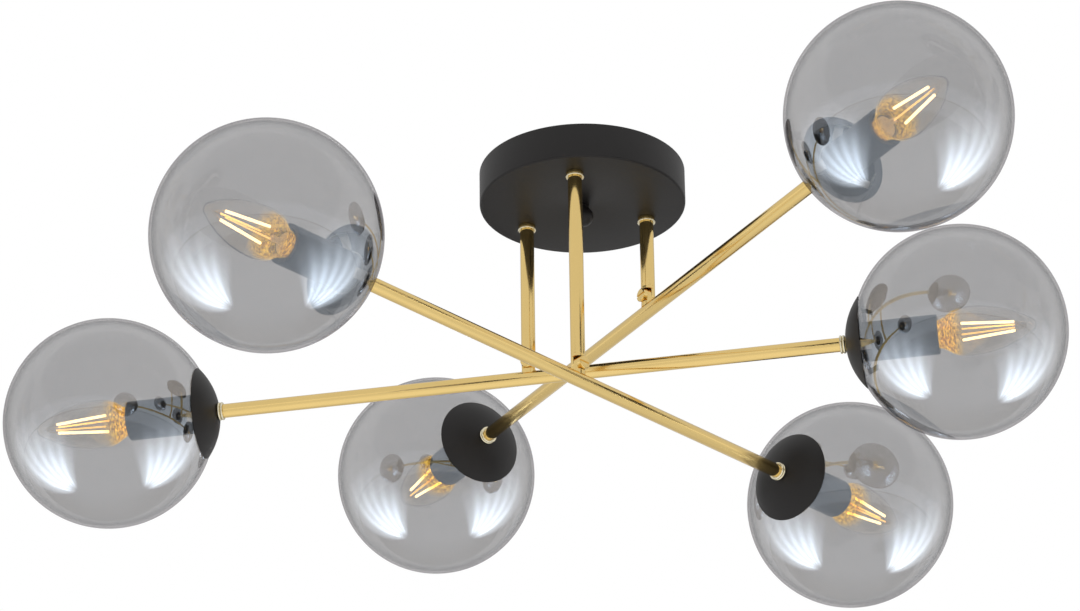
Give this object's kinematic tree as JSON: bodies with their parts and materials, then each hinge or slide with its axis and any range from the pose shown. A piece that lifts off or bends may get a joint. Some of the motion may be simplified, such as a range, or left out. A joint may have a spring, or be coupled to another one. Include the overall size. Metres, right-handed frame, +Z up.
{
  "type": "ceiling light",
  "caption": "Ceiling light: a round black canopy carries swivelling gold arms on stems, with a smoked glass globe on a black cup at each end of every arm.",
  "frame": {"origin": "on the ceiling plane, at the middle of the bracket's top face and of the canopy's rim", "axes": "+Z up to the ceiling, +X along the bracket and to the right of the picture, +Y away from the viewer"},
  "size_m": [0.7503, 0.7099, 0.2615],
  "materials": {
    "black_metal": "satin black powder coat",
    "gold_metal": "polished gold plate",
    "plated_steel": "zinc plated",
    "block_plastic": "moulded, matt",
    "lead_sheath": "smooth sheath",
    "black_plastic": "moulded, satin",
    "smoked_glass": "smoke grey, glossy",
    "clear_glass": "clear, glossy",
    "lamp_brass": "plain"
  },
  "bodies": {
    "base": {"ceiling_bracket": "plated_steel", "centre_stud": "plated_steel", "canopy": "black_metal", "terminal_block": "block_plastic", "canopy_leads": "lead_sheath"},
    "ball_nut": {"ball_nut": "black_metal"},
    "stem_a": {"stem_tube_a": "gold_metal", "stem_fixings_a": "gold_metal", "stem_knuckle_a": "gold_metal", "knuckle_screw_a": "gold_metal"},
    "globe_1": {"globe_1": "smoked_glass"},
    "bulb_1": {"bulb_glass_1": "clear_glass", "bulb_works_1": "lamp_brass"},
    "globe_4": {"globe_4": "smoked_glass"},
    "bulb_4": {"bulb_glass_4": "clear_glass", "bulb_works_4": "lamp_brass"},
    "arm_a": {"rod_a": "gold_metal", "arm_knuckle_a": "gold_metal", "rod_leads_a": "lead_sheath", "cup_fixings_a": "gold_metal", "cup_1": "black_metal", "lampholder_1": "black_plastic", "cup_4": "black_metal", "lampholder_4": "black_plastic"},
    "stem_b": {"stem_tube_b": "gold_metal", "stem_fixings_b": "gold_metal", "stem_knuckle_b": "gold_metal", "knuckle_screw_b": "gold_metal"},
    "globe_2": {"globe_2": "smoked_glass"},
    "bulb_2": {"bulb_glass_2": "clear_glass", "bulb_works_2": "lamp_brass"},
    "globe_5": {"globe_5": "smoked_glass"},
    "bulb_5": {"bulb_glass_5": "clear_glass", "bulb_works_5": "lamp_brass"},
    "arm_b": {"rod_b": "gold_metal", "arm_knuckle_b": "gold_metal", "rod_leads_b": "lead_sheath", "cup_fixings_b": "gold_metal", "cup_2": "black_metal", "lampholder_2": "black_plastic", "cup_5": "black_metal", "lampholder_5": "black_plastic"},
    "stem_c": {"stem_tube_c": "gold_metal", "stem_fixings_c": "gold_metal", "stem_knuckle_c": "gold_metal", "knuckle_screw_c": "gold_metal"},
    "globe_3": {"globe_3": "smoked_glass"},
    "bulb_3": {"bulb_glass_3": "clear_glass", "bulb_works_3": "lamp_brass"},
    "globe_6": {"globe_6": "smoked_glass"},
    "bulb_6": {"bulb_glass_6": "clear_glass", "bulb_works_6": "lamp_brass"},
    "arm_c": {"rod_c": "gold_metal", "arm_knuckle_c": "gold_metal", "rod_leads_c": "lead_sheath", "cup_fixings_c": "gold_metal", "cup_3": "black_metal", "lampholder_3": "black_plastic", "cup_6": "black_metal", "lampholder_6": "black_plastic"}
  },
  "joints": [
    {"name": "ball_nut_turn", "type": "hinge", "parent": "base", "child": "ball_nut", "pos_m": [0, 0, -0.026], "axis": [0, 0, 1], "continuous": true},
    {"name": "swivel_a", "type": "hinge", "parent": "base", "child": "stem_a", "pos_m": [-0.00509, -0.04924, -0.026], "axis": [0, 0, 1], "range_deg": [-4, 15]},
    {"name": "tilt_a", "type": "hinge", "parent": "stem_a", "child": "arm_a", "pos_m": [-0.00509, -0.04924, -0.1755], "axis": [0.7431, -0.6691, 0], "range_deg": [-7, 7]},
    {"name": "globe_1_off", "type": "slide", "parent": "arm_a", "child": "globe_1", "axis": [-0.6691, -0.7431, 0], "range_m": [0, 0.13]},
    {"name": "bulb_1_out", "type": "slide", "parent": "arm_a", "child": "bulb_1", "axis": [-0.6691, -0.7431, 0], "range_m": [0, 0.019]},
    {"name": "globe_4_off", "type": "slide", "parent": "arm_a", "child": "globe_4", "axis": [0.6691, 0.7431, 0], "range_m": [0, 0.13]},
    {"name": "bulb_4_out", "type": "slide", "parent": "arm_a", "child": "bulb_4", "axis": [0.6691, 0.7431, 0], "range_m": [0, 0.019]},
    {"name": "swivel_b", "type": "hinge", "parent": "base", "child": "stem_b", "pos_m": [-0.0401, 0.02903, -0.026], "axis": [0, 0, 1], "range_deg": [-9, 4]},
    {"name": "tilt_b", "type": "hinge", "parent": "stem_b", "child": "arm_b", "pos_m": [-0.0401, 0.02903, -0.136], "axis": [-0.1564, -0.9877, 0], "range_deg": [-7, 7]},
    {"name": "globe_2_off", "type": "slide", "parent": "arm_b", "child": "globe_2", "axis": [-0.9875, 0.1564, -0.0218], "range_m": [0, 0.13]},
    {"name": "bulb_2_out", "type": "slide", "parent": "arm_b", "child": "bulb_2", "axis": [-0.9875, 0.1564, -0.0218], "range_m": [0, 0.019]},
    {"name": "globe_5_off", "type": "slide", "parent": "arm_b", "child": "globe_5", "axis": [0.9875, -0.1564, 0.0218], "range_m": [0, 0.13]},
    {"name": "bulb_5_out", "type": "slide", "parent": "arm_b", "child": "bulb_5", "axis": [0.9875, -0.1564, 0.0218], "range_m": [0, 0.019]},
    {"name": "swivel_c", "type": "hinge", "parent": "base", "child": "stem_c", "pos_m": [0.04519, 0.02021, -0.026], "axis": [0, 0, 1], "range_deg": [-15, 4]},
    {"name": "tilt_c", "type": "hinge", "parent": "stem_c", "child": "arm_c", "pos_m": [0.04519, 0.02021, -0.089], "axis": [-0.8616, -0.5075, 0], "range_deg": [-3, 3]},
    {"name": "globe_3_off", "type": "slide", "parent": "arm_c", "child": "globe_3", "axis": [-0.5075, 0.8616, 0], "range_m": [0, 0.13]},
    {"name": "bulb_3_out", "type": "slide", "parent": "arm_c", "child": "bulb_3", "axis": [-0.5075, 0.8616, 0], "range_m": [0, 0.019]},
    {"name": "globe_6_off", "type": "slide", "parent": "arm_c", "child": "globe_6", "axis": [0.5075, -0.8616, 0], "range_m": [0, 0.13]},
    {"name": "bulb_6_out", "type": "slide", "parent": "arm_c", "child": "bulb_6", "axis": [0.5075, -0.8616, 0], "range_m": [0, 0.019]}
  ]
}
